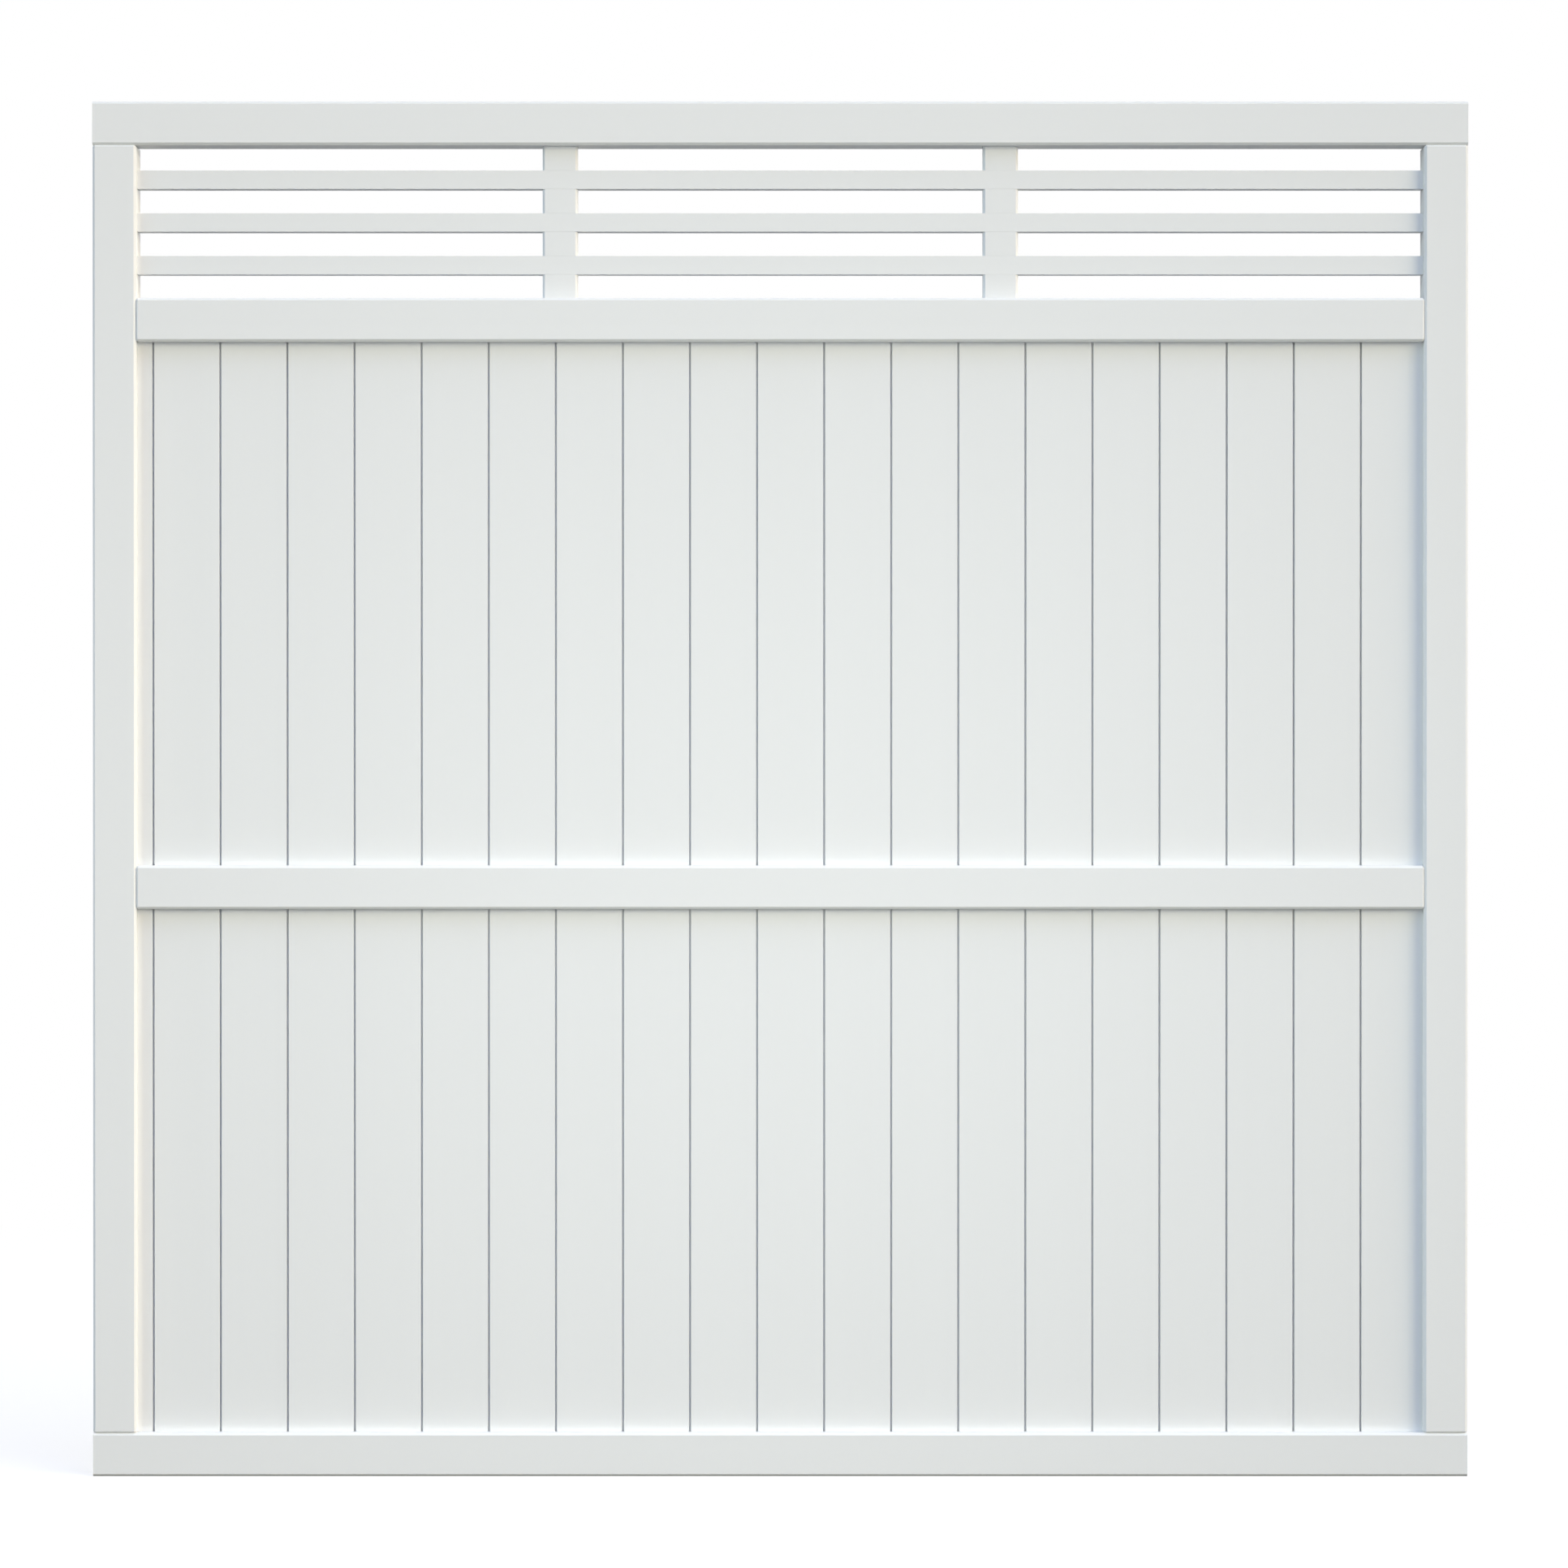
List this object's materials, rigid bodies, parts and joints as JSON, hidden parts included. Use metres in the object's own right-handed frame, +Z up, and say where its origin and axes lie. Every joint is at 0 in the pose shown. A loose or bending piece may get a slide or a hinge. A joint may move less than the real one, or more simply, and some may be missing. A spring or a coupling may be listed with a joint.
{
  "type": "fence panel",
  "caption": "Square white privacy fence panel: a chamfered frame around tongue-and-groove boards crossed by a middle rail, with a slatted light along the top.",
  "frame": {"origin": "middle of the left stile's outer face, which is fastened to a post", "axes": "+X along the fence from the left stile to the right stile, +Y from the front face to the back, +Z up"},
  "size_m": [1.8, 0.045, 1.8],
  "materials": {
    "frame_vinyl": "satin",
    "board_vinyl": "satin",
    "lattice_vinyl": "satin",
    "cap_vinyl": "satin"
  },
  "bodies": {
    "root": {"board_01": "board_vinyl", "board_02": "board_vinyl", "board_03": "board_vinyl", "board_04": "board_vinyl", "board_05": "board_vinyl", "board_06": "board_vinyl", "board_07": "board_vinyl", "board_08": "board_vinyl", "board_09": "board_vinyl", "board_10": "board_vinyl", "board_11": "board_vinyl", "board_12": "board_vinyl", "board_13": "board_vinyl", "board_14": "board_vinyl", "board_15": "board_vinyl", "board_16": "board_vinyl", "board_17": "board_vinyl", "board_18": "board_vinyl", "board_19": "board_vinyl", "board_20": "board_vinyl", "bottom_rail": "frame_vinyl", "bottom_rail_left_cap": "cap_vinyl", "bottom_rail_right_cap": "cap_vinyl", "divider_1": "lattice_vinyl", "divider_2": "lattice_vinyl", "left_stile": "frame_vinyl", "middle_rail_back": "frame_vinyl", "middle_rail_front": "frame_vinyl", "right_stile": "frame_vinyl", "slat_1": "lattice_vinyl", "slat_2": "lattice_vinyl", "slat_3": "lattice_vinyl", "top_rail": "frame_vinyl", "top_rail_left_cap": "cap_vinyl", "top_rail_right_cap": "cap_vinyl", "upper_rail": "frame_vinyl"}
  },
  "joints": []
}
